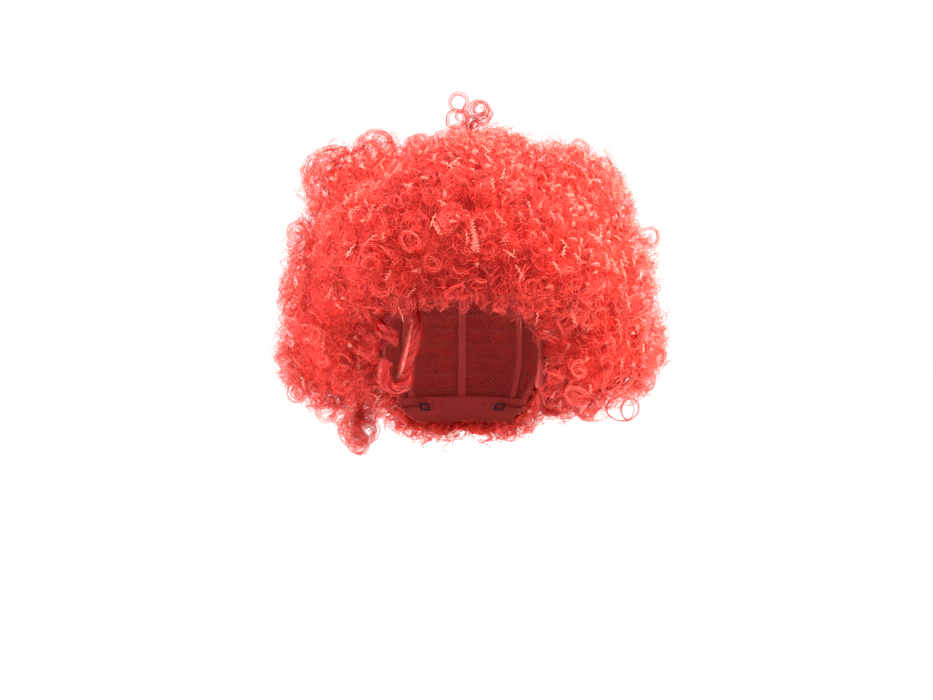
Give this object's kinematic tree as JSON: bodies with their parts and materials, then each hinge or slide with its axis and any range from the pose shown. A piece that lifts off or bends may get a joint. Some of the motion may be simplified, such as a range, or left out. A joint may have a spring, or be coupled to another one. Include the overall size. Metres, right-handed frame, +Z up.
{
  "type": "costume wig",
  "caption": "Bulky short curly costume wig: coral red fibre in sections on a stretch cap of net, tapes and wefts, with ear tabs, nape size adjusters and loose locks.",
  "frame": {"origin": "centre of the head form that fills the cap, level with the brows; the head seat mount is there", "axes": "+Z up, face towards -Y, +X to the left of the wearer"},
  "size_m": [0.34, 0.29, 0.3188],
  "materials": {
    "hair": "satin",
    "net": "matte",
    "tape": "matte",
    "elastic": "matte",
    "weft": "satin",
    "hook_plastic": "gloss",
    "stay": "satin"
  },
  "bodies": {
    "cap": {"adjuster_strap_left": "elastic", "adjuster_strap_right": "elastic", "back_net": "net", "crown_net": "net", "crown_patch": "weft", "crown_ring": "tape", "ear_band_left": "tape", "ear_band_right": "tape", "forehead_band": "tape", "front_net": "net", "hair_back_lower": "hair", "hair_back_upper": "hair", "hair_crown_back": "hair", "hair_crown_front": "hair", "hair_front": "hair", "hair_left_lower": "hair", "hair_left_upper": "hair", "hair_right_lower": "hair", "hair_right_upper": "hair", "hook_loops_left": "elastic", "hook_loops_right": "elastic", "left_net": "net", "nape_band": "elastic", "right_net": "net", "strap_patch_left": "tape", "strap_patch_right": "tape", "tape_back": "tape", "tape_back_left": "tape", "tape_back_right": "tape", "tape_front": "tape", "tape_front_left": "tape", "tape_front_right": "tape", "tape_left": "tape", "tape_right": "tape", "weft_01": "weft", "weft_02": "weft", "weft_03": "weft", "weft_04": "weft", "weft_05": "weft", "weft_06": "weft", "weft_07": "weft", "weft_08": "weft", "weft_09": "weft", "weft_10": "weft", "weft_11": "weft", "weft_12": "weft", "weft_13": "weft"},
    "ear_tab_left": {"ear_tab_left": "tape", "ear_tab_stay_left": "stay"},
    "ear_tab_right": {"ear_tab_right": "tape", "ear_tab_stay_right": "stay"},
    "hook_left": {"adjuster_hook_left": "hook_plastic"},
    "hook_right": {"adjuster_hook_right": "hook_plastic"},
    "forelock": {"forelock": "hair"},
    "crown_lock": {"crown_lock": "hair"},
    "side_lock_left": {"side_lock_left": "hair"},
    "side_lock_right": {"side_lock_right": "hair"}
  },
  "joints": [
    {"name": "hook_slide_left", "type": "slide", "parent": "cap", "child": "hook_left", "axis": [-0.8184, 0.5747, 0.0035], "range_m": [0, 0.014], "deforming": ["adjuster_strap_left"]},
    {"name": "hook_slide_right", "type": "slide", "parent": "cap", "child": "hook_right", "axis": [0.8184, 0.5747, 0.0035], "range_m": [0, 0.014], "deforming": ["adjuster_strap_right"]},
    {"name": "ear_tab_bend_left", "type": "hinge", "parent": "cap", "child": "ear_tab_left", "pos_m": [0.07027, -0.036, -0.009], "axis": [0.3158, 0.9488, 0], "range_deg": [0, 20]},
    {"name": "ear_tab_bend_right", "type": "hinge", "parent": "cap", "child": "ear_tab_right", "pos_m": [-0.07027, -0.036, -0.009], "axis": [0.3158, -0.9488, 0], "range_deg": [0, 20]},
    {"name": "forelock_swing", "type": "hinge", "parent": "cap", "child": "forelock", "pos_m": [-0.038, -0.09, 0.0275], "axis": [-1, 0, 0], "range_deg": [0, 40]},
    {"name": "side_lock_left_swing", "type": "hinge", "parent": "cap", "child": "side_lock_left", "pos_m": [0.142, 0.002, -0.042], "axis": [1, 0, 0], "range_deg": [-25, 25]},
    {"name": "side_lock_right_swing", "type": "hinge", "parent": "cap", "child": "side_lock_right", "pos_m": [-0.09, 0.008, -0.058], "axis": [1, 0, 0], "range_deg": [-20, 20]},
    {"name": "crown_lock_bend", "type": "hinge", "parent": "cap", "child": "crown_lock", "pos_m": [0.008, 0, 0.192], "axis": [1, 0, 0], "range_deg": [-25, 25], "stiffness_Nm_per_rad": 0.00006}
  ]
}
